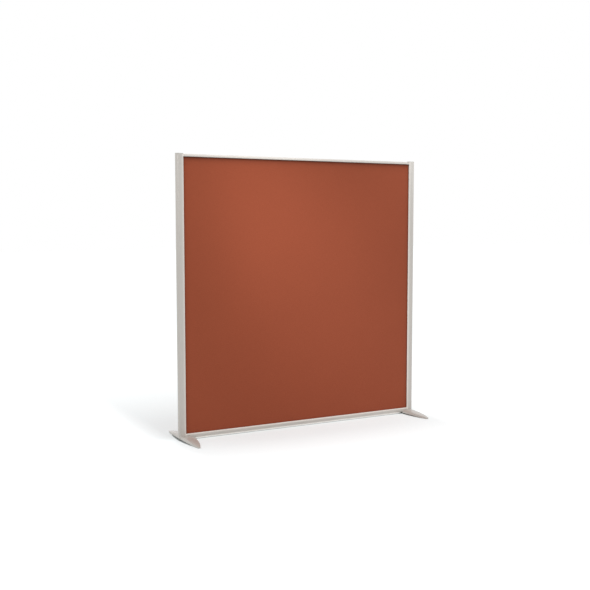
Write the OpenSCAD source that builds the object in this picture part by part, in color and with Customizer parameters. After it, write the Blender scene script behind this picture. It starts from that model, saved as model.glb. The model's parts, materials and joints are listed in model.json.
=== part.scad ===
// Free-standing acoustic divider screen.
// A slim aluminium frame with half-round outer edges holds one flat panel, covered in
// fabric on both sides, and stands on two arched, leaf-shaped feet.
// The origin is on the floor under the middle of the screen: +X right, -Y front, +Z up.

/* [Screen] */
// Overall width, over the outer edges of the posts
screen_w = 1500; // [900:10:1800]
// Overall height, from the floor to the top of the post caps
screen_h = 1500; // [1000:10:1900]
// Gap between the floor and the bottom rail
rail_floor_gap = 4; // [2:0.5:8]
// Height of the lower end of the posts above the floor
post_floor_gap = 24; // [20:0.5:26]
// Step from the top of a post cap down to the top rail
rail_step = 2.5; // [1:0.5:4]

/* [Frame sections] */
// Thickness of posts and rails, front to back
frame_t = 28; // [26:1:36]
// Width of a post, seen from the front
post_w = 40.5; // [36:0.5:60]
// Height of the bottom rail
bottom_rail_h = 30; // [28:1:50]
// Height of the top rail
top_rail_h = 14.5; // [14.5:0.5:30]
// Wall of the hollow sections, at their round edge and under their groove
wall = 2.5; // [1.5:0.25:3.5]
// Wall of the hollow sections, at their flat faces
face_wall = 3; // [2.8:0.1:4]
// Width of the slope along the edge of a section's face, beside its groove
lip_w = 4.5; // [2:0.5:6]
// Depth of that slope, from the face back
lip_drop = 3; // [1.5:0.5:4]
// Thickness of the top plate of a post cap
cap_t = 4; // [3:0.5:6]
// Depth of a cap's plug in the post
cap_plug_h = 12; // [6:1:20]
// Wall of a cap's plug
cap_plug_wall = 2; // [1.5:0.5:3]

/* [Panel] */
// Thickness of the covered panel
panel_t = 14; // [12:0.5:16]
// Gap on each side between the panel and the groove
panel_side_gap = 1; // [0.5:0.25:1.5]
// Depth to which the panel's edge sits in the groove
panel_entry = 4.5; // [3.5:0.5:5.5]
// Thickness of the cover fabric
fabric_t = 1; // [0.6:0.2:1.6]
// Width of the timber battens round the panel's core
batten_w = 40; // [32:1:70]
// Thickness of the hardboard in the middle of the core
board_t = 3; // [2:0.5:4]
// Depth to which the hardboard sits in the battens
board_entry = 7.5; // [4:0.5:9]
// Diameter of the dowels that join the battens
dowel_d = 6; // [4:1:8]
// Length of a dowel
dowel_l = 40; // [20:2:50]
// Length of a packer between the panel and the frame
packer_l = 60; // [30:5:100]

/* [Corner brackets] */
// Thickness of a corner bracket
bracket_t = 3; // [2:0.5:4]
// Length of each leg of a bracket
bracket_leg = 72; // [60:2:120]
// Gap between a bracket and the panel's edge
bracket_gap = 0.5; // [0.25:0.25:1]
// Diameter of a bracket screw
screw_d = 4; // [3:0.5:5]
// Length of a bracket screw, head included
screw_l = 6; // [5.5:0.25:7]
// Diameter of its countersunk head
screw_head_d = 7.6; // [6.5:0.1:8.5]

/* [Feet] */
// Length of a foot, front to back
foot_l = 420; // [360:10:600]
// Distance from the screen's end in to the foot's outer edge
foot_inset = 8; // [4:1:12]
// Bow of the outer edge, from the line through the tips
foot_outer_bow = 25; // [20:1:32]
// Bow of the inner edge, from the same line
foot_inner_bow = 43.5; // [38:0.5:60]
// Radius of the foot's tips, seen from above
foot_tip_r = 8.5; // [6:0.5:10]
// Height of the top of the foot at its tips
foot_tip_h = 7; // [6:0.5:10]
// Radius of the rounded shoulders along the top of the foot
foot_shoulder_r = 11; // [6:0.5:13]
// Rise of the foot's lower edge between its pads
foot_arch = 6; // [3:0.5:7]
// Gap between the floor and the lower edge at the pads
foot_floor_gap = 1; // [0.5:0.25:1.5]
// Step from the foot's crown up to the seat of the post
seat_step = 1; // [0.5:0.25:2]
// Depth of the seat block that stands on the foot under the post
seat_block_h = 12; // [8:1:14]
// Thickness of the walls round the hollows under a foot
foot_wall = 4; // [3:0.5:5]
// Diameter of a rubber pad
pad_d = 15; // [10:0.5:16]
// Thickness of a rubber pad
pad_t = 4; // [3:0.5:5]

/* [Foot bolts] */
// Diameter of the bolt that pulls a foot to its post
bolt_d = 8; // [6:1:8]
// Length of the bolt under its head
bolt_l = 30; // [25:1:45]
// Diameter of the bolt's head
bolt_head_d = 13; // [10:0.5:14]
// Height of the bolt's head
bolt_head_h = 8; // [5:0.5:8]
// Width of the hexagon socket in the head
bolt_key = 6; // [4:0.5:7]
// Diameter of the washer under the head
washer_d = 16; // [14.5:0.5:18]
// Thickness of the washer
washer_t = 1.6; // [1:0.2:2.4]
// Height of the threaded block in the foot of a post
insert_h = 30; // [26:1:60]

/* [Hidden] */
$fn = 48;
// Sides of the very large arcs of the feet, and of the rounding along their shoulders
arc_fn = 360;
shoulder_fn = 28;
// Overrun of a cut past the face that it goes through
over = 1;
// Fits: a plug in a chamber, a screw in its thread, a bolt in a plain hole, a pad in its recess
plug_fit = 0.15;
thread_fit = 0.05;
bolt_hole_gap = 0.5;
pad_fit = 0.2;
// Height that the round plates of a foot would have over its crown, were they not cut by it
crown_skim = 0.3;
// Gaps of a coped rail end, a rail in a foot, the cover on its core, the board in its groove,
// a piece of absorber in the core, a packer under the panel
cope_gap = 0.1;
rail_slot_gap = 0.4;
skin_gap = 0.1;
board_gap = 0.2;
absorber_gap = 0.5;
packer_gap = 0.2;
// Free space at each side of a bracket or packer in the groove
groove_side_gap = 0.5;
// Space between a dowel's end and the bottom of its hole
dowel_end_gap = 1;
// Space between the heads of the bracket screws and their countersinks
csk_gap = 0.05;
// Hexagon socket in a bracket screw, across its flats, and its depth
screw_key = 2.5;
screw_key_depth = 1;
// Least depth of a hollow that is left between a section's round edge and its groove
chamber_min = 6;
// Space past the end of a foot bolt, and of a bracket screw, in its thread
bolt_end_gap = 4;
screw_end_gap = 0.5;

// Shares of a length at which repeated pieces stand
bottom_packer_shares = [-0.32, 0, 0.32];
top_packer_shares = [-0.32, 0.32];
side_packer_shares = [0.25, 0.75];
screw_shares = [0.42, 0.8];
dowel_shares = [0.3, 0.62];
foot_rib_shares = [0.3, 0.5, 0.7];
pad_share = 0.895;
tip_width_share = 0.99;
shoulder_wall_share = 1.6;
outer_wall_share = 0.5;
key_depth_share = 0.6;

// Frame sections
round_r = frame_t / 2;
packer_t = bracket_t + bracket_gap;
groove_d = panel_entry + packer_t;
groove_w = panel_t + 2 * panel_side_gap;
lip_y = round_r - lip_drop;
chamber_r = round_r - wall;
post_z0 = post_floor_gap;
post_z1 = screen_h - cap_t;
post_in_x = screen_w / 2 - post_w;
groove_x = post_in_x + groove_d;
bottom_lip_z = rail_floor_gap + bottom_rail_h;
groove_bottom_z = bottom_lip_z - groove_d;
top_lip_z = screen_h - rail_step - top_rail_h;
groove_top_z = top_lip_z + groove_d;

// Panel
panel_x = groove_x - packer_t;
panel_z0 = groove_bottom_z + packer_t;
panel_z1 = groove_top_z - packer_t;
core_x = panel_x - fabric_t - skin_gap;
core_z0 = panel_z0 + fabric_t + skin_gap;
core_z1 = panel_z1 - fabric_t - skin_gap;
core_t = panel_t - 2 * (fabric_t + skin_gap);
open_x = core_x - batten_w;
open_z0 = core_z0 + batten_w;
open_z1 = core_z1 - batten_w;
strip_w = groove_w - 2 * groove_side_gap;

// Feet, in a frame of their own: x runs in from the end of the screen
foot_tip_x = foot_inset + foot_outer_bow;
foot_in_x = foot_tip_x + foot_inner_bow;
tip_y = foot_l / 2 - foot_tip_r;
tip_half = tip_width_share * foot_tip_r;
crown_z = post_z0 - seat_step;
function arc_radius(half, rise) = (half * half + rise * rise) / (2 * rise);
outer_r = arc_radius(tip_y, foot_outer_bow - tip_half);
inner_r = arc_radius(tip_y, foot_inner_bow - tip_half);
outer_cx = foot_inset + outer_r;
inner_cx = foot_in_x - inner_r;
top_arc_r = arc_radius(foot_l / 2, crown_z - foot_tip_h);
pad_y = pad_share * foot_l / 2;
pad_x = (outer_cx - sqrt(outer_r * outer_r - pad_y * pad_y)
    + inner_cx + sqrt(inner_r * inner_r - pad_y * pad_y)) / 2;
arch_r = arc_radius(pad_y - pad_d / 2 - foot_wall, foot_arch);
arch_z = foot_floor_gap + foot_arch;
bolt_x = foot_inset + outer_wall_share * foot_wall + washer_d / 2 + bolt_hole_gap;
washer_top_z = arch_z + bolt_head_h;
bolt_top_z = washer_top_z - washer_t + bolt_l;

// A rectangular bar between two corners
module bar(a, b) {
    translate(a) cube(b - a);
}

// What is drawn for the left side, turned to the side that is asked for: -1 left, 1 right
module on_side(side) {
    rotate([0, 0, side > 0 ? 180 : 0]) children();
}

// A corner of the frame: X runs in along the rail and Z along the post, from the meeting
// of the two groove floors
module at_corner(side, top) {
    translate([side * groove_x, 0, top ? groove_top_z : groove_bottom_z])
        rotate([top ? 180 : 0, 0, side > 0 ? 180 : 0]) children();
}

// Frame sections: the mouth of the groove is on the X axis and the section runs towards -Y

// Outline of a section: half-round far edge, flat faces, and a slope along their near edges
module section_outline(depth) {
    flat_y = -min(lip_w, depth - round_r);
    intersection() {
        union() {
            translate([0, round_r - depth]) circle(round_r);
            translate([-round_r - over, round_r - depth]) square([2 * (round_r + over), depth]);
        }
        polygon([[-round_r, -depth], [-round_r, flat_y], [-lip_y, 0],
            [lip_y, 0], [round_r, flat_y], [round_r, -depth]]);
    }
}

// Hollow of a section between its round edge and its groove, drawn in on all sides by inset
module section_chamber(depth, inset) {
    r = chamber_r - inset;
    half_w = round_r - face_wall - inset;
    near_y = -groove_d - wall - inset;
    intersection() {
        union() {
            translate([0, round_r - depth]) circle(r);
            translate([-half_w, round_r - depth]) square([2 * half_w, depth]);
        }
        translate([-r, near_y - depth]) square([2 * r, depth]);
    }
}

module section(depth) {
    difference() {
        section_outline(depth);
        translate([-groove_w / 2, -groove_d]) square([groove_w, groove_d + over]);
        if (depth > groove_d + 2 * wall + chamber_min) section_chamber(depth, 0);
    }
}

// Anything with the plan of a post, at the left end of the screen, from z0 to z1
module post_prism(z0, z1) {
    translate([-post_in_x, 0, z0]) rotate([0, 0, -90]) linear_extrude(z1 - z0) children();
}

// Holes for the bracket screws, from the groove floors out into the frame
module screw_holes(side, top) {
    hole_l = screw_l - bracket_t + screw_end_gap;
    at_corner(side, top) for (share = screw_shares) {
        translate([share * bracket_leg, 0, -hole_l]) cylinder(d = screw_d + 2 * thread_fit, h = hole_l + over);
        translate([-hole_l, 0, share * bracket_leg]) rotate([0, 90, 0])
            cylinder(d = screw_d + 2 * thread_fit, h = hole_l + over);
    }
}

module post(side) {
    color("lightgray") difference() {
        on_side(side) post_prism(post_z0, post_z1) section(post_w);
        screw_holes(side, false);
        screw_holes(side, true);
    }
}

// A rail's bar, long enough to reach past the posts' slopes and then cut to their outline
module rail_bar(lip_z, turn, depth) {
    half = post_in_x + lip_w;
    difference() {
        translate([-half, 0, lip_z]) rotate([turn, 0, 0]) rotate([90, 0, 90])
            linear_extrude(2 * half) section(depth);
        for (side = [-1, 1]) on_side(side) translate([cope_gap, 0, 0])
            post_prism(0, screen_h + over) section_outline(post_w);
    }
}

module top_rail() {
    color("gainsboro") difference() {
        rail_bar(top_lip_z, 180, top_rail_h);
        for (side = [-1, 1]) screw_holes(side, true);
    }
}

module bottom_rail() {
    color("darkgray") difference() {
        rail_bar(bottom_lip_z, 0, bottom_rail_h);
        for (side = [-1, 1]) screw_holes(side, false);
    }
}

// Cap on a post: a flat plate with the post's outline and a hollow plug in its chamber
module post_cap(side) {
    color("silver") on_side(side) {
        post_prism(post_z1, screen_h) section_outline(post_w);
        post_prism(post_z1 - cap_plug_h, post_z1 + plug_fit) difference() {
            section_chamber(post_w, plug_fit);
            section_chamber(post_w, plug_fit + cap_plug_wall);
        }
    }
}

// Threaded block in the foot of a post
module post_insert(side) {
    color("dimgray") difference() {
        on_side(side) difference() {
            post_prism(post_z0, post_z0 + insert_h) section_chamber(post_w, plug_fit);
            translate([bolt_x - screen_w / 2, 0, post_z0 - over])
                cylinder(d = bolt_d + 2 * thread_fit, h = bolt_top_z - post_z0 + bolt_end_gap + over);
        }
        screw_holes(side, false);
    }
}

// The space round a foot, from z0 to z1
module foot_room(z0, z1) {
    bar([-over, -foot_l / 2 - over, z0], [foot_in_x + over, foot_l / 2 + over, z1]);
}

// Round plate with a rounded upper edge, about the Z axis, of which a foot uses one side
module round_plate(r) {
    top = crown_z + crown_skim;
    rotate_extrude($fn = arc_fn) {
        translate([0, foot_floor_gap]) square([r - foot_shoulder_r, top - foot_floor_gap]);
        translate([0, foot_floor_gap]) square([r, top - foot_shoulder_r - foot_floor_gap]);
        translate([r - foot_shoulder_r, top - foot_shoulder_r]) circle(foot_shoulder_r, $fn = shoulder_fn);
    }
}

// A disc on edge along the X axis, with its rim highest at z over the foot's middle
module edge_disc(r, z) {
    translate([-2 * over, 0, z - r]) rotate([90, 0, 90]) linear_extrude(foot_in_x + foot_tip_x)
        circle(r, $fn = arc_fn);
}

// Leaf between the foot's two long arcs, under its crowned top
module leaf() {
    intersection() {
        intersection() {
            translate([outer_cx, 0, 0]) round_plate(outer_r);
            foot_room(0, screen_h);
        }
        intersection() {
            translate([inner_cx, 0, 0]) rotate([0, 0, 180]) round_plate(inner_r);
            foot_room(0, screen_h);
        }
        intersection() {
            edge_disc(top_arc_r, crown_z);
            foot_room(-over, screen_h);
        }
    }
}

// What is cut away past the round tips
module tip_cuts() {
    for (end = [0, 180]) translate([foot_tip_x, 0, 0]) rotate([0, 0, end]) difference() {
        bar([-foot_in_x, tip_y, -over], [foot_in_x, foot_l / 2 + 2 * over, crown_z + over]);
        translate([0, tip_y, -2 * over]) cylinder(r = foot_tip_r, h = crown_z + 4 * over);
    }
}

// Hollows under the arms of a foot, with cross ribs between them
module foot_hollows() {
    y0 = round_r + 2 * foot_wall;
    y1 = pad_y - pad_d / 2 - foot_wall;
    side_wall = shoulder_wall_share * foot_wall;
    for (end = [-1, 1]) intersection() {
        translate([outer_cx, 0, 0]) cylinder(r = outer_r - side_wall, h = crown_z, $fn = arc_fn);
        translate([inner_cx, 0, 0]) cylinder(r = inner_r - side_wall, h = crown_z, $fn = arc_fn);
        edge_disc(top_arc_r - foot_wall, crown_z - foot_wall);
        difference() {
            bar([0, min(end * y0, end * y1), 0], [foot_in_x, max(end * y0, end * y1), crown_z]);
            for (share = foot_rib_shares)
                bar([-over, end * share * foot_l / 2 - foot_wall / 2, -over],
                    [foot_in_x + over, end * share * foot_l / 2 + foot_wall / 2, crown_z + over]);
        }
    }
}

// The left foot's casting, with X counted in from the end of the screen
module foot_casting() {
    difference() {
        leaf();
        tip_cuts();
        // the arched lower edge between the pads
        intersection() {
            edge_disc(arch_r, arch_z);
            foot_room(-over, screen_h);
        }
        foot_hollows();
        // the slot that the bottom rail lies in
        bar([post_w - lip_w - rail_slot_gap, -round_r - rail_slot_gap, 0],
            [foot_in_x + over, round_r + rail_slot_gap, crown_z + over]);
        for (end = [-1, 1]) translate([pad_x, end * pad_y, 0])
            cylinder(d = pad_d + 2 * pad_fit, h = pad_t);
    }
}

module foot(side) {
    color("lightgray") on_side(side) difference() {
        union() {
            translate([-screen_w / 2, 0, 0]) foot_casting();
            post_prism(post_z0 - seat_block_h, post_z0) section_outline(post_w);
        }
        translate([bolt_x - screen_w / 2, 0, 0]) {
            cylinder(d = bolt_d + 2 * bolt_hole_gap, h = post_z0 + over);
            cylinder(d = washer_d + 2 * bolt_hole_gap, h = washer_top_z);
        }
    }
}

module foot_pads(side) {
    color("dimgray") on_side(side) for (end = [-1, 1])
        translate([pad_x - screen_w / 2, end * pad_y, 0]) cylinder(d = pad_d, h = pad_t);
}

module foot_bolts() {
    color("gray") for (side = [-1, 1]) on_side(side)
        translate([bolt_x - screen_w / 2, 0, washer_top_z - washer_t]) {
            translate([0, 0, -over]) cylinder(d = bolt_d, h = bolt_l + over);
            difference() {
                translate([0, 0, -bolt_head_h]) cylinder(d = bolt_head_d, h = bolt_head_h);
                translate([0, 0, -bolt_head_h - over])
                    cylinder(d = bolt_key / cos(30), h = over + key_depth_share * bolt_head_h, $fn = 6);
            }
        }
}

module foot_washers() {
    color("silver") for (side = [-1, 1]) on_side(side)
        translate([bolt_x - screen_w / 2, 0, washer_top_z - washer_t]) difference() {
            cylinder(d = washer_d, h = washer_t);
            translate([0, 0, -over]) cylinder(d = bolt_d + bolt_hole_gap, h = washer_t + 2 * over);
        }
}

// Corner brackets and their screws

// A countersunk screw that points along -Z, with the top of its head at the origin
module csk_screw(gap) {
    r = screw_d / 2 + gap;
    head_r = screw_head_d / 2 + gap;
    translate([0, 0, r - head_r]) cylinder(r1 = r, r2 = head_r, h = head_r - r);
    translate([0, 0, -screw_l]) cylinder(r = r, h = screw_l + r - head_r + gap);
}

// Puts its children at each screw of a corner, on the bracket's faces
module at_screws() {
    for (share = screw_shares) {
        translate([share * bracket_leg, 0, bracket_t]) children();
        translate([bracket_t, 0, share * bracket_leg]) rotate([0, 90, 0]) children();
    }
}

module corner_bracket(side, top) {
    color("lightsteelblue") at_corner(side, top) difference() {
        union() {
            bar([0, -strip_w / 2, 0], [bracket_leg, strip_w / 2, bracket_t]);
            bar([0, -strip_w / 2, 0], [bracket_t, strip_w / 2, bracket_leg]);
        }
        at_screws() csk_screw(csk_gap);
        at_screws() cylinder(d = screw_head_d + 2 * csk_gap, h = over);
    }
}

module bracket_screws() {
    color("gray") for (side = [-1, 1], top = [false, true]) at_corner(side, top) at_screws() difference() {
        csk_screw(0);
        translate([0, 0, -screw_key_depth]) cylinder(d = screw_key / cos(30), h = screw_key_depth + over, $fn = 6);
    }
}

// Panel: battens, dowels, board, absorber and cover

// The room for the board in the battens, or the board itself where gap is 0
module board_body(gap) {
    bar([-open_x - board_entry - gap, -board_t / 2 - gap, open_z0 - board_entry - gap],
        [open_x + board_entry + gap, board_t / 2 + gap, open_z1 + board_entry + gap]);
}

// Places of the dowels, on the joints between battens and stiles
module at_dowels() {
    for (side = [-1, 1], share = dowel_shares, z = [core_z0 + share * batten_w, core_z1 - share * batten_w])
        translate([side * open_x, 0, z]) rotate([0, 90, 0]) children();
}

module dowel_holes() {
    at_dowels() cylinder(d = dowel_d + 2 * thread_fit, h = dowel_l + 2 * dowel_end_gap, center = true);
}

module panel_stile(side) {
    color("burlywood") difference() {
        on_side(side) bar([-core_x, -core_t / 2, core_z0], [-open_x, core_t / 2, core_z1]);
        board_body(board_gap);
        dowel_holes();
    }
}

module panel_batten(z0, z1) {
    color("burlywood") difference() {
        bar([-open_x, -core_t / 2, z0], [open_x, core_t / 2, z1]);
        board_body(board_gap);
        dowel_holes();
    }
}

module panel_dowels() {
    color("tan") at_dowels() cylinder(d = dowel_d, h = dowel_l, center = true);
}

module centre_board() {
    color("peru") board_body(0);
}

// One slab of absorber, on the front (-1) or rear (1) of the board
module absorber(face) {
    x = open_x - absorber_gap;
    rotate([0, 0, face > 0 ? 180 : 0]) color("dimgray")
        bar([-x, -core_t / 2, open_z0 + absorber_gap], [x, -board_t / 2 - skin_gap, open_z1 - absorber_gap]);
}

// One side's cover: the stretched face and the edges turned in round the core
module fabric(face) {
    rotate([0, 0, face > 0 ? 180 : 0]) color("sienna") difference() {
        bar([-panel_x, -panel_t / 2, panel_z0], [panel_x, -skin_gap / 2, panel_z1]);
        bar([fabric_t - panel_x, fabric_t - panel_t / 2, panel_z0 + fabric_t],
            [panel_x - fabric_t, over, panel_z1 - fabric_t]);
    }
}

// Packers that centre the panel in the frame
module rail_packers(shares, z0, z1) {
    color("black") for (share = shares)
        bar([2 * share * post_in_x - packer_l / 2, -strip_w / 2, z0],
            [2 * share * post_in_x + packer_l / 2, strip_w / 2, z1]);
}

module side_packers() {
    color("black") for (side = [-1, 1], share = side_packer_shares) on_side(side)
        translate([0, 0, panel_z0 + share * (panel_z1 - panel_z0)])
            bar([-groove_x, -strip_w / 2, -packer_l / 2], [-panel_x - packer_gap, strip_w / 2, packer_l / 2]);
}

post(-1);  // left_post
post(1);  // right_post
top_rail();
bottom_rail();
post_cap(-1);  // left_post_cap
post_cap(1);  // right_post_cap
foot(-1);  // left_foot
foot(1);  // right_foot
foot_pads(-1);  // left_foot_pads
foot_pads(1);  // right_foot_pads
post_insert(-1);  // left_post_insert
post_insert(1);  // right_post_insert
foot_bolts();
foot_washers();
corner_bracket(-1, true);  // top_left_bracket
corner_bracket(1, true);  // top_right_bracket
corner_bracket(-1, false);  // bottom_left_bracket
corner_bracket(1, false);  // bottom_right_bracket
bracket_screws();
panel_stile(-1);  // panel_left_stile
panel_stile(1);  // panel_right_stile
panel_batten(open_z1, core_z1);  // panel_top_batten
panel_batten(core_z0, open_z0);  // panel_bottom_batten
panel_dowels();
centre_board();
absorber(-1);  // front_absorber
absorber(1);  // rear_absorber
fabric(-1);  // front_fabric
fabric(1);  // rear_fabric
rail_packers(bottom_packer_shares, groove_bottom_z, panel_z0 - packer_gap);  // bottom_packers
side_packers();
rail_packers(top_packer_shares, panel_z1 + packer_gap, groove_top_z);  // top_packers
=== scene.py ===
# Acoustic divider screen: the looks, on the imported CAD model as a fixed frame.
# Lengths are in metres, colours are linear, angles in degrees and lamps in watts.
import json
import math

import bmesh
import bpy
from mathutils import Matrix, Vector


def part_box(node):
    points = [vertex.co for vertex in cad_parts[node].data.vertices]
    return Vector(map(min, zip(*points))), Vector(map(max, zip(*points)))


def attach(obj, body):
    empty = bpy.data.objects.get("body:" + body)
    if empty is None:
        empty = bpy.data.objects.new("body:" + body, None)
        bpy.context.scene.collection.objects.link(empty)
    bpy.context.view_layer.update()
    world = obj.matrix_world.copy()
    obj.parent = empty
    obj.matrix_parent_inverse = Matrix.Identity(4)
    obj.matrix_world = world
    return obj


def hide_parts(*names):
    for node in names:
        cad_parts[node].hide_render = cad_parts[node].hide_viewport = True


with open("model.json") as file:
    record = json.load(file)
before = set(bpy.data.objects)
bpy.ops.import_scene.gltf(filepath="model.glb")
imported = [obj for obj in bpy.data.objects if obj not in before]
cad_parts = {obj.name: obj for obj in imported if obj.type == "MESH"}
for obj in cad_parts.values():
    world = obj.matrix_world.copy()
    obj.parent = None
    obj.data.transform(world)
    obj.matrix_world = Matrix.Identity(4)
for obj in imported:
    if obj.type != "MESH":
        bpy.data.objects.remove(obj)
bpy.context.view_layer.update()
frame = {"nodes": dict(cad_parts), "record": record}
nodes = frame["nodes"]
scene = bpy.context.scene

# Colours
SILVER = (0.59, 0.548, 0.505)
CAP_GREY = (0.60, 0.57, 0.53)
TERRACOTTA = (0.36, 0.078, 0.0335)
BLACK = (0.03, 0.03, 0.03)
ZINC = (0.58, 0.59, 0.60)
BLACK_OXIDE = (0.07, 0.07, 0.075)
BOARD_BROWN = (0.20, 0.11, 0.06)
FELT_GREY = (0.16, 0.16, 0.165)
PINE_PALE, PINE_DARK = (0.66, 0.47, 0.27), (0.42, 0.25, 0.11)
BEECH_PALE, BEECH_DARK = (0.58, 0.40, 0.25), (0.40, 0.25, 0.14)

# Painted highlight on the lips that the cloth meets: how much brighter the paint is there, and how far
# from them that fades
LIP_HIGHLIGHT_GAIN = 0.48
LIP_HIGHLIGHT_REACH = 0.007

# Painted shadow on the cloth along the frame: how much darker it is there, and how far from the frame
# that fades
SEAM_SHADOW_SIDES = (0.45, 0.007)
SEAM_SHADOW_TOP = (0.70, 0.0125)
SEAM_SHADOW_BOTTOM = (0.12, 0.006)

# Weave: from one yarn to the next, how low a yarn dips at its edges, and how fast its shade changes
YARN_PITCH = 0.0016
YARN_DIP = 0.55
ACROSS_YARN, ALONG_YARN = 0.9, 0.06

# Timber: how fine its grain is across and along the fibres, and the rings' share in it
ACROSS_GRAIN, ALONG_GRAIN = 60.0, 2.0
RING_SHARE = 0.6

# Drawn steel: how fine its lines are along x, y and z
DRAWN_LINES = (900.0, 60.0, 900.0)

# Broken edges: their width on extrusions and on cast or moulded pieces, the turn above which an edge
# is sharp, and the gap within which corners are joined first
EXTRUSION_EASE = 0.0004
CASTING_EASE = 0.0006
SHARP_FROM = 40.0
WELD_WITHIN = 0.000005

# Cloth cover: thickness, radius of the turned edge, how far the middle stands proud of the edge,
# and the steps in the turned edge, in the wall and over the face
CLOTH_THICK = 0.0009
CLOTH_EDGE = 0.0022
CLOTH_CROWN = 0.0005
CLOTH_STEPS = (5, 3, 56)

# Absorber slab, in the same way, and the gap within which its two faces are joined
PAD_EDGE = 0.0012
PAD_CROWN = 0.0003
PAD_STEPS = (4, 2, 24)
PAD_JOIN_WITHIN = 0.00001

# Floor: its half width, its colour, how white it is to the eye and to the light that it sends back
FLOOR_HALF = 30.0
FLOOR_TINT = (0.94, 0.99, 1.0)
FLOOR_SEEN = 0.63
FLOOR_WHITE = 0.92

# The floor's glow by the screen, how much less of it there is behind the screen, which paints a shadow
# there, and over what depth it drops to that
GLOW = 0.43
PAINTED_SHADOW_BEHIND = 0.09
BEHIND_DEPTH = 0.1

# The glow that is added away from the screen: where it starts, how it grows by the metre, its most.
# Less glow near the screen paints a soft shadow round it. Past the screen's side a metre counts for
# more, and behind the screen it counts for less, so that painted shadow reaches further behind.
FAR_START = 0.2
FAR_SLOPE = 0.35
FAR_MOST = 0.25
SCREEN_SIDE = 0.72
SIDE_FACTOR = 5.0
BEHIND_FACTOR = 0.45

# Painted shadow lines on the floor where the part meets it, where its glow is taken away. Under a foot:
# the share of its leaf shape that is dark, and the soft edge's share. Under the bottom rail: half the
# dark line, its soft edge, the glow left.
FOOT_SHARE, FOOT_SOFT_SHARE = 0.92, 0.1
RAIL_LINE, RAIL_SOFT, RAIL_GLOW = 0.004, 0.010, 0.1

# Light from the surroundings, as a share of full white
WORLD_LEVEL = 0.78

# Softboxes: name, place, aim, width and depth, power
SOFTBOXES = [
    ("overhead", (0, -0.3, 3.6), (0, 0, 0), (3.0, 2.6), 28),
    ("under_rail", (0, 0, 0.001), (0, 0, 1), (1.32, 0.03), 0.10),
]
# Focused lamps: name, place, aim, cone, power
SPOTS = [
    ("key", (-1.28, -1.28, 2.48), (-0.043, 0, 0.985), 29.8, 103),
    ("right", (2.6, -2.4, 2.1), (0.82, 0, 1.5), 15, 75),
]
SPOT_SIZE = 0.25

# The camera that was fitted to the photograph's edges, its lens and sensor in millimetres
CAMERA_AT = (-2.4719, -4.4293, 1.1522)
CAMERA_TURN = (85.347, 0.030, -28.675)
CAMERA_LENS = 55.56
CAMERA_SENSOR = 36.0


# Materials
class Graph:
    """A node tree, with short ways to add nodes and to do sums with them."""

    def __init__(self, tree):
        self.tree = tree

    def new(self, kind):
        return self.tree.nodes.new(kind)

    def put(self, socket, value):
        """Gives a socket a constant, or what another socket gives."""
        if isinstance(value, bpy.types.NodeSocket):
            self.tree.links.new(value, socket)
        else:
            socket.default_value = value

    def math(self, operation, *values):
        n = self.new("ShaderNodeMath")
        n.operation = operation
        for socket, value in zip(n.inputs, values):
            self.put(socket, value)
        return n.outputs[0]

    def product(self, first, *others):
        for value in others:
            first = self.math("MULTIPLY", first, value)
        return first

    def clamp(self, value, low, high):
        return self.math("MINIMUM", self.math("MAXIMUM", value, low), high)

    def scale(self, value, low, high):
        """A value from 0 to 1 spread over low to high."""
        return self.math("MULTIPLY_ADD", value, high - low, low)

    def around(self, value, middle, swing):
        """A value from 0 to 1 spread to both sides of a middle."""
        return self.scale(value, middle - swing, middle + swing)

    def rise(self, value, start, length):
        """0 where a value is at start, and 1 where it is a length further on."""
        return self.math("MULTIPLY_ADD", value, 1 / length, -start / length)

    def place(self):
        """Position as three sockets."""
        coord = self.new("ShaderNodeTexCoord")
        split = self.new("ShaderNodeSeparateXYZ")
        self.put(split.inputs[0], coord.outputs["Object"])
        return split.outputs[0], split.outputs[1], split.outputs[2]

    def vector(self, *parts):
        n = self.new("ShaderNodeCombineXYZ")
        for socket, value in zip(n.inputs, parts):
            self.put(socket, value)
        return n.outputs[0]

    def stretched(self, factors):
        """Position, multiplied by a factor along each axis."""
        return self.vector(*(self.math("MULTIPLY", a, f) for a, f in zip(self.place(), factors)))

    def noise(self, scale, detail=2.0, rough=0.5, vector=None):
        n = self.new("ShaderNodeTexNoise")
        self.put(n.inputs["Vector"], vector or self.new("ShaderNodeTexCoord").outputs["Object"])
        self.put(n.inputs["Scale"], scale)
        self.put(n.inputs["Detail"], detail)
        self.put(n.inputs["Roughness"], rough)
        return n.outputs["Fac"]

    def ramp(self, value, low, high):
        """From one colour to another; low and high are (position, colour)."""
        n = self.new("ShaderNodeValToRGB")
        self.put(n.inputs[0], value)
        for element, (position, colour) in zip(n.color_ramp.elements, (low, high)):
            element.position = position
            element.color = (*colour, 1)
        return n.outputs[0]

    def tint(self, colour, factor):
        """A colour times a factor."""
        n = self.new("ShaderNodeVectorMath")
        n.operation = "SCALE"
        self.put(n.inputs[0], colour)
        self.put(n.inputs["Scale"], factor)
        return n.outputs[0]

    def seen(self):
        """1 for rays from the camera, off a gloss or through glass, and 0 for all others."""
        path = self.new("ShaderNodeLightPath")
        seen = self.math("MAXIMUM", path.outputs["Is Camera Ray"], path.outputs["Is Glossy Ray"])
        return self.math("MAXIMUM", seen, path.outputs["Is Transmission Ray"])


class Material(Graph):
    """A material's node tree and its shader."""

    def __init__(self, name):
        self.mat = bpy.data.materials.new(name)
        self.mat.use_nodes = True
        super().__init__(self.mat.node_tree)
        self.bsdf = self.tree.nodes["Principled BSDF"]
        self.out = self.tree.nodes["Material Output"]

    def set(self, **values):
        for key, value in values.items():
            self.put(self.bsdf.inputs[key.replace("_", " ")], value)

    def bump(self, height, strength, distance):
        n = self.new("ShaderNodeBump")
        self.put(n.inputs["Strength"], strength)
        self.put(n.inputs["Distance"], distance)
        self.put(n.inputs["Height"], height)
        self.put(self.bsdf.inputs["Normal"], n.outputs[0])


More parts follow.
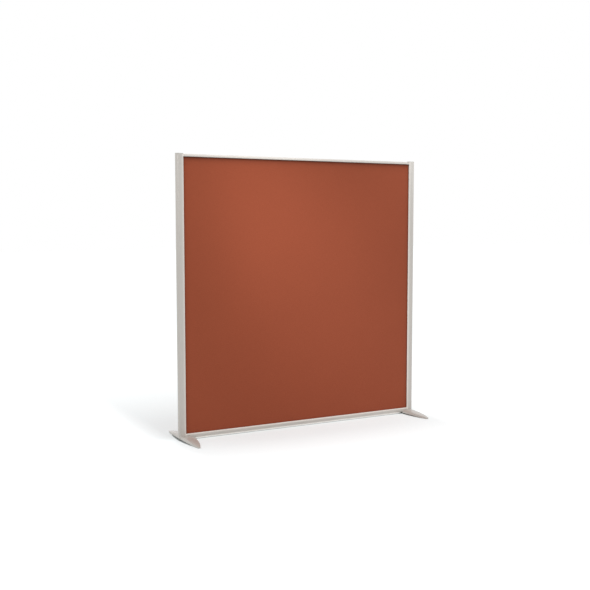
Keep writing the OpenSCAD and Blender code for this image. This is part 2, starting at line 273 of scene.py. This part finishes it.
def lip_painted_highlight(g):
    """Painted highlight along the lips that the cloth meets: on the posts beside it, on the bottom rail
    below it."""
    x, _, z = g.place()
    inner_x, inner_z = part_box("right_post")[0].x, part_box("bottom_rail")[1].z
    side = g.math("ABSOLUTE", x)
    on_rail = g.math("LESS_THAN", side, inner_x)
    beside = g.math("SUBTRACT", side, inner_x)
    below = g.math("ABSOLUTE", g.math("SUBTRACT", inner_z, z))
    away = g.math("MAXIMUM", beside, g.math("MULTIPLY", below, on_rail))
    fade = g.math("EXPONENT", g.math("MULTIPLY", g.math("POWER", away, 2.0), -1 / LIP_HIGHLIGHT_REACH ** 2))
    return g.math("MULTIPLY_ADD", fade, LIP_HIGHLIGHT_GAIN, 1.0)


def painted(name, rough, lips):
    """Satin paint: fine texture in the paint, a slight change of shade over the surface."""
    g = Material(name)
    clouds = g.around(g.noise(scale=3.0, detail=3.0), middle=0.0, swing=0.03)
    speckle = g.around(g.noise(scale=240.0), middle=1.0, swing=0.015)
    shade = g.math("ADD", clouds, speckle)
    # On the frame, the paint is brighter along the lips: a painted highlight.
    if lips:
        shade = g.math("MULTIPLY", shade, lip_painted_highlight(g))
    g.set(
        Base_Color=g.tint(SILVER, shade),
        Roughness=g.around(g.noise(scale=60.0, detail=3.0), middle=rough, swing=0.05),
        Coat_Weight=0.4,
        Coat_Roughness=0.18,
    )
    g.bump(g.noise(scale=1500.0, rough=0.6), strength=0.12, distance=0.0001)
    return g.mat


def seam_painted_shadow(g, x, z):
    """Darker cloth along the frame, where it turns in: a painted shadow, most under the top rail."""
    sides = g.math("SUBTRACT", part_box("right_post")[0].x, g.math("ABSOLUTE", x))
    top = g.math("SUBTRACT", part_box("top_rail")[0].z, z)
    bottom = g.math("SUBTRACT", z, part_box("bottom_rail")[1].z)
    shade = 1.0
    for gap, (depth, reach) in ((sides, SEAM_SHADOW_SIDES), (top, SEAM_SHADOW_TOP), (bottom, SEAM_SHADOW_BOTTOM)):
        fade = g.math("EXPONENT", g.math("MULTIPLY", g.math("MAXIMUM", gap, 0.0), -1 / reach))
        shade = g.math("MULTIPLY", shade, g.math("MULTIPLY_ADD", fade, -depth, 1.0))
    return shade


def fabric(name, colour):
    """Plain weave of heathered yarn."""
    g = Material(name)
    x, y, z = g.place()
    u = g.math("DIVIDE", x, YARN_PITCH)
    v = g.math("DIVIDE", g.math("ADD", z, y), YARN_PITCH)
    square = g.math("ABSOLUTE", g.math("ADD", g.math("FLOOR", u), g.math("FLOOR", v)))
    over = g.math("GREATER_THAN", g.math("MODULO", square, 2.0), 0.5)
    under = g.math("SUBTRACT", 1.0, over)

    def woven(warp, weft):
        """What the warp gives where it lies on top, and what the weft gives elsewhere."""
        return g.math("ADD", g.math("MULTIPLY", warp, over), g.math("MULTIPLY", weft, under))

    def rounded(position):
        """The round back of one yarn after another."""
        return g.math("ABSOLUTE", g.math("SINE", g.math("MULTIPLY", position, math.pi)))

    def streaks(u_step, v_step, seed):
        """The shade of the yarns that run one way."""
        steps = g.vector(g.math("MULTIPLY", u, u_step), seed, g.math("MULTIPLY", v, v_step))
        return g.noise(scale=1.0, rough=0.6, vector=steps)

    across, along = rounded(u), rounded(v)
    warp = g.math("MULTIPLY", across, g.scale(along, low=YARN_DIP, high=1.0))
    weft = g.math("MULTIPLY", along, g.scale(across, low=YARN_DIP, high=1.0))
    height = woven(warp, weft)
    warp_streaks = streaks(ACROSS_YARN, ALONG_YARN, seed=3.0)
    weft_streaks = streaks(ALONG_YARN, ACROSS_YARN, seed=9.0)
    yarn = woven(warp_streaks, weft_streaks)
    # Darker where a yarn dips, which is painted shade between the yarns; the yarns' streaks and the
    # clouds are the cloth's own colour; along the frame, a painted shadow.
    shade = g.product(
        g.scale(height, low=0.78, high=1.08),
        g.scale(yarn, low=0.80, high=1.22),
        g.around(g.noise(scale=2.2, detail=3.0), middle=1.0, swing=0.05),
        seam_painted_shadow(g, x, z),
    )
    g.set(
        Base_Color=g.tint(colour, shade),
        Roughness=0.9,
        Specular_IOR_Level=0.2,
        Sheen_Weight=0.12,
        Sheen_Roughness=0.5,
    )
    g.bump(g.math("ADD", height, g.math("MULTIPLY", yarn, 0.3)), strength=0.5, distance=0.0004)
    return g.mat


def wood(name, pale, dark, along):
    """Planed timber with its grain along one axis."""
    g = Material(name)
    place = g.stretched([ALONG_GRAIN if axis == along else ACROSS_GRAIN for axis in "xyz"])
    rings = g.new("ShaderNodeTexWave")
    for key, value in (("Vector", place), ("Scale", 1.2), ("Distortion", 5.0), ("Detail", 3.0)):
        g.put(rings.inputs[key], value)
    fibre = g.noise(scale=9.0, detail=3.0, rough=0.6, vector=place)
    ring_part = g.math("MULTIPLY", rings.outputs["Fac"], RING_SHARE)
    grain = g.math("ADD", ring_part, g.math("MULTIPLY", fibre, 1 - RING_SHARE))
    g.set(
        Base_Color=g.ramp(grain, low=(0.1, dark), high=(0.75, pale)),
        Roughness=g.scale(fibre, low=0.5, high=0.7),
    )
    g.bump(grain, strength=0.25, distance=0.0004)
    return g.mat


def steel(name, colour, rough):
    """Plated steel with fine drawn lines."""
    g = Material(name)
    lines = g.noise(scale=1.0, detail=3.0, rough=0.6, vector=g.stretched(DRAWN_LINES))
    g.set(
        Base_Color=g.tint(colour, g.scale(g.noise(scale=120.0), low=0.85, high=1.1)),
        Metallic=1.0,
        Roughness=g.around(lines, middle=rough, swing=0.08),
    )
    g.bump(lines, strength=0.15, distance=0.0001)
    return g.mat


def moulded(name, colour, rough, grain=1400.0):
    """Moulded plastic or rubber with a fine grain."""
    g = Material(name)
    g.set(
        Base_Color=g.tint(colour, g.around(g.noise(scale=40.0, detail=3.0), middle=1.0, swing=0.08)),
        Roughness=g.around(g.noise(scale=300.0), middle=rough, swing=0.06),
    )
    g.bump(g.noise(scale=grain, rough=0.7), strength=0.3, distance=0.0001)
    return g.mat


def fibrous(name, colour):
    """Needled felt or pressed board: crossed fibres and flecks."""
    g = Material(name)
    fibres = g.noise(scale=420.0, detail=4.0, rough=0.75)
    flecks = g.noise(scale=1100.0, rough=0.6)
    shade = g.product(g.around(fibres, middle=1.0, swing=0.4), g.around(flecks, middle=1.0, swing=0.25))
    g.set(Base_Color=g.tint(colour, shade), Roughness=0.95, Sheen_Weight=0.3)
    g.bump(g.math("ADD", fibres, g.math("MULTIPLY", flecks, 0.5)), strength=0.6, distance=0.001)
    return g.mat


materials = {
    "satin_aluminium": painted("frame_paint", rough=0.32, lips=True),
    "cast_foot": painted("foot_paint", rough=0.34, lips=False),
    "cap_plastic": moulded("cap_grey", CAP_GREY, rough=0.45),
    "rust_fabric": fabric("rust_cloth", TERRACOTTA),
    "packer_plastic": moulded("packer_black", BLACK, rough=0.5),
    "zinc_steel": steel("zinc_steel", ZINC, rough=0.32),
    "dark_steel": steel("dark_steel", BLACK_OXIDE, rough=0.42),
    "pad_rubber": moulded("pad_rubber", BLACK, rough=0.75, grain=2200.0),
    "hardboard": fibrous("hardboard", BOARD_BROWN),
    "felt": fibrous("absorber_felt", FELT_GREY),
    "beech": wood("beech", BEECH_PALE, BEECH_DARK, along="x"),
}
pine = {axis: wood("pine_" + axis, PINE_PALE, PINE_DARK, along=axis) for axis in "xz"}
slots = {s["node"]: s["material_slot"] for s in frame["record"]["subparts"]}


def dress(piece, material):
    piece.data.materials.clear()
    piece.data.materials.append(material)


def ease(piece, width):
    """Breaks the sharp edges of a hard part, as paint and tooling do."""
    weld = piece.modifiers.new("weld", "WELD")
    weld.merge_threshold = WELD_WITHIN
    bevel = piece.modifiers.new("ease", "BEVEL")
    bevel.width = width
    bevel.segments = 2
    bevel.limit_method = "ANGLE"
    bevel.angle_limit = math.radians(SHARP_FROM)
    bevel.harden_normals = True


for name, node in nodes.items():
    if slots[name] == "pine":
        dress(node, pine["z" if "stile" in name else "x"])
    else:
        dress(node, materials[slots[name]])

for name in ("left_post", "right_post", "top_rail", "bottom_rail"):
    ease(nodes[name], EXTRUSION_EASE)
for name in ("left_post_cap", "right_post_cap", "left_foot", "right_foot"):
    ease(nodes[name], CASTING_EASE)


# Soft pieces
def add(name, bm, slot, *stands_for):
    """A new piece in the scene, in the place of the CAD nodes that it stands for."""
    bmesh.ops.recalc_face_normals(bm, faces=bm.faces)
    mesh = bpy.data.meshes.new(name)
    bm.to_mesh(mesh)
    bm.free()
    piece = bpy.data.objects.new(name, mesh)
    scene.collection.objects.link(piece)
    dress(piece, materials[slot])
    for face in mesh.polygons:
        face.use_smooth = True
    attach(piece, "root")
    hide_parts(*stands_for)
    return piece


def spread(low, high, count):
    return [low + (high - low) * i / count for i in range(count + 1)]


def tray(bm, lo, hi, radius, front, rim, crown, steps):
    """One skin of a shallow tray: a face at y = front, crowned in its middle, whose edge turns over
    a radius into walls that run to y = rim. Returns the vertices round the rim."""
    arc_steps, wall_steps, cells = steps
    turn = 1 if rim > front else -1
    profile = []
    for angle in spread(0, math.pi / 2, arc_steps)[1:]:
        profile.append((radius * math.sin(angle), front + turn * radius * (1 - math.cos(angle))))
    profile += [(radius, y) for y in spread(profile[-1][1], rim, wall_steps)[1:]]
    xs = spread(lo[0] + radius, hi[0] - radius, cells)
    zs = spread(lo[1] + radius, hi[1] - radius, cells)
    low, high = -len(profile), cells + len(profile)
    placed = {}
    for i in range(low, high + 1):
        for j in range(low, high + 1):
            past_x = max(-i, i - cells, 0)
            past_z = max(-j, j - cells, 0)
            ring = max(past_x, past_z)
            x, z = xs[min(max(i, 0), cells)], zs[min(max(j, 0), cells)]
            if ring == 0:
                u, v = 2 * i / cells - 1, 2 * j / cells - 1
                y = front - turn * crown * (1 - u ** 4) * (1 - v ** 4)
            else:
                out, y = profile[ring - 1]
                angle = math.pi / 4 * (past_z / ring if past_x >= past_z else 2 - past_x / ring)
                if past_x:
                    x += math.copysign(out * math.cos(angle), i)
                if past_z:
                    z += math.copysign(out * math.sin(angle), j)
            placed[i, j] = bm.verts.new((x, y, z))
    for i in range(low, high):
        for j in range(low, high):
            corner = [placed[i, j], placed[i + 1, j], placed[i + 1, j + 1], placed[i, j + 1]]
            bm.faces.new(corner if turn > 0 else corner[::-1])
    rim_places = [(i, low) for i in range(low, high)] + [(high, j) for j in range(low, high)]
    rim_places += [(i, high) for i in range(high, low, -1)] + [(low, j) for j in range(high, low, -1)]
    return [placed[place] for place in rim_places]


def cover(name, node):
    """The cloth of one side: the stretched face, and its edges turned in round the core."""
    lo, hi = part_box(node)
    front, rim = (lo.y, hi.y) if lo.y + hi.y < 0 else (hi.y, lo.y)
    turn = 1 if rim > front else -1
    bm = bmesh.new()
    skins = []
    for inset in (0.0, CLOTH_THICK):
        skin_lo, skin_hi = (lo.x + inset, lo.z + inset), (hi.x - inset, hi.z - inset)
        skins.append(tray(bm, skin_lo, skin_hi, CLOTH_EDGE - inset, front + turn * inset, rim,
                          CLOTH_CROWN, CLOTH_STEPS))
    outer, inner = skins
    for quad in zip(outer, outer[1:] + outer[:1], inner[1:] + inner[:1], inner):
        bm.faces.new(quad)
    piece = add(name, bm, "rust_fabric", node)


def pad(name, node):
    """A slab of felt: both faces slightly crowned, edges cut square and rubbed round."""
    lo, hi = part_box(node)
    middle = (lo.y + hi.y) / 2
    bm = bmesh.new()
    for face in (lo.y, hi.y):
        turn = 1 if face < middle else -1
        skin = face + turn * PAD_CROWN
        tray(bm, (lo.x, lo.z), (hi.x, hi.z), PAD_EDGE, skin, middle, PAD_CROWN, PAD_STEPS)
    bmesh.ops.remove_doubles(bm, verts=bm.verts, dist=PAD_JOIN_WITHIN)
    add(name, bm, "felt", node)


cover("front_cover", "front_fabric")
cover("rear_cover", "rear_fabric")
pad("front_pad", "front_absorber")
pad("rear_pad", "rear_absorber")


# Studio
def light(name, kind, at, look, watts):
    """A lamp that the camera doesn't see, aimed at a point."""
    data = bpy.data.lights.new(name, kind)
    data.energy = watts
    thing = bpy.data.objects.new(name, data)
    thing.location = at
    thing.rotation_mode = "QUATERNION"
    thing.rotation_quaternion = (Vector(look) - Vector(at)).to_track_quat("-Z", "Y")
    thing.visible_camera = False
    scene.collection.objects.link(thing)
    return data


def painted_contact_shadow(g, x, y):
    """How much of its glow the floor keeps: none under the feet, some under the bottom rail, and all of
    it elsewhere; a painted shadow under the part."""
    lo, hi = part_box("right_foot")
    middle, half = (lo.x + hi.x) / 2, (hi.x - lo.x) / 2
    side = g.math("ABSOLUTE", x)
    depth = g.math("ABSOLUTE", y)
    beside = g.math("ABSOLUTE", g.rise(side, middle, half))
    ahead = g.math("POWER", g.math("MULTIPLY", depth, 1 / hi.y), 2.0)
    foot = g.clamp(g.rise(g.math("ADD", beside, ahead), FOOT_SHARE, FOOT_SOFT_SHARE), 0.0, 1.0)
    rail = g.math("MAXIMUM", g.rise(depth, RAIL_LINE, RAIL_SOFT), g.rise(side, middle, RAIL_SOFT))
    return g.math("MINIMUM", foot, g.clamp(rail, RAIL_GLOW, 1.0))


def far_glow(g, x, y):
    """More glow away from the screen, so that the floor's edge doesn't show; the lower glow near the
    screen is a painted shadow round it.
    """
    past = g.math("MAXIMUM", g.math("SUBTRACT", g.math("ABSOLUTE", x), SCREEN_SIDE), 0.0)
    beside = g.math("MULTIPLY", past, SIDE_FACTOR)
    ahead = g.math("MAXIMUM", g.math("MULTIPLY", y, -1.0), g.math("MULTIPLY", y, BEHIND_FACTOR))
    squares = g.math("ADD", g.math("POWER", beside, 2.0), g.math("POWER", ahead, 2.0))
    away = g.math("SQRT", squares)
    return g.clamp(g.math("MULTIPLY_ADD", away, FAR_SLOPE, -FAR_SLOPE * FAR_START), 0.0, FAR_MOST)


def floor_paper():
    """White paper under the object, with a glow that only the camera, gloss and glass see."""
    g = Material("floor_white")
    x, y, _ = g.place()
    seen = g.seen()
    lit = g.new("ShaderNodeBsdfDiffuse")
    g.put(lit.inputs["Color"], g.tint(FLOOR_TINT, g.scale(seen, FLOOR_WHITE, FLOOR_SEEN)))
    # Less glow behind the screen, near it, under the feet and under the bottom rail: painted shadows on
    # the floor.
    behind = g.clamp(g.rise(y, 0.0, BEHIND_DEPTH), 0.0, 1.0)
    near = g.math("MULTIPLY_ADD", behind, -PAINTED_SHADOW_BEHIND, GLOW)
    near = g.math("MULTIPLY", near, painted_contact_shadow(g, x, y))
    glow = g.new("ShaderNodeEmission")
    g.put(glow.inputs["Strength"], g.math("MULTIPLY", seen, g.math("ADD", near, far_glow(g, x, y))))
    both = g.new("ShaderNodeAddShader")
    g.put(both.inputs[0], lit.outputs[0])
    g.put(both.inputs[1], glow.outputs[0])
    g.put(g.out.inputs["Surface"], both.outputs[0])
    return g.mat


def floor():
    mesh = bpy.data.meshes.new("floor")
    corners = [(-1, -1), (1, -1), (1, 1), (-1, 1)]
    mesh.from_pydata([(x * FLOOR_HALF, y * FLOOR_HALF, 0) for x, y in corners], [], [(0, 1, 2, 3)])
    piece = bpy.data.objects.new("floor", mesh)
    scene.collection.objects.link(piece)
    mesh.materials.append(floor_paper())


def surroundings():
    """White to the camera, to gloss and to glass, and a little dimmer as a light."""
    world = bpy.data.worlds.new("studio")
    scene.world = world
    world.use_nodes = True
    g = Graph(world.node_tree)
    back = g.tree.nodes["Background"]
    g.put(back.inputs["Color"], (1, 1, 1, 1))
    g.put(back.inputs["Strength"], g.scale(g.seen(), WORLD_LEVEL, 1.0))


def lamps():
    for name, at, look, size, watts in SOFTBOXES:
        data = light(name, "AREA", at, look, watts)
        data.shape = "RECTANGLE"
        data.size, data.size_y = size
    for name, at, look, cone, watts in SPOTS:
        data = light(name, "SPOT", at, look, watts)
        data.spot_size = math.radians(cone)
        data.spot_blend = 1.0
        data.shadow_soft_size = SPOT_SIZE


def camera():
    data = bpy.data.cameras.new("camera")
    data.sensor_width = CAMERA_SENSOR
    data.lens = CAMERA_LENS
    thing = bpy.data.objects.new("camera", data)
    thing.location = CAMERA_AT
    thing.rotation_euler = tuple(math.radians(a) for a in CAMERA_TURN)
    scene.collection.objects.link(thing)
    scene.camera = thing


floor()
surroundings()
lamps()
camera()
scene.view_settings.view_transform = "Standard"
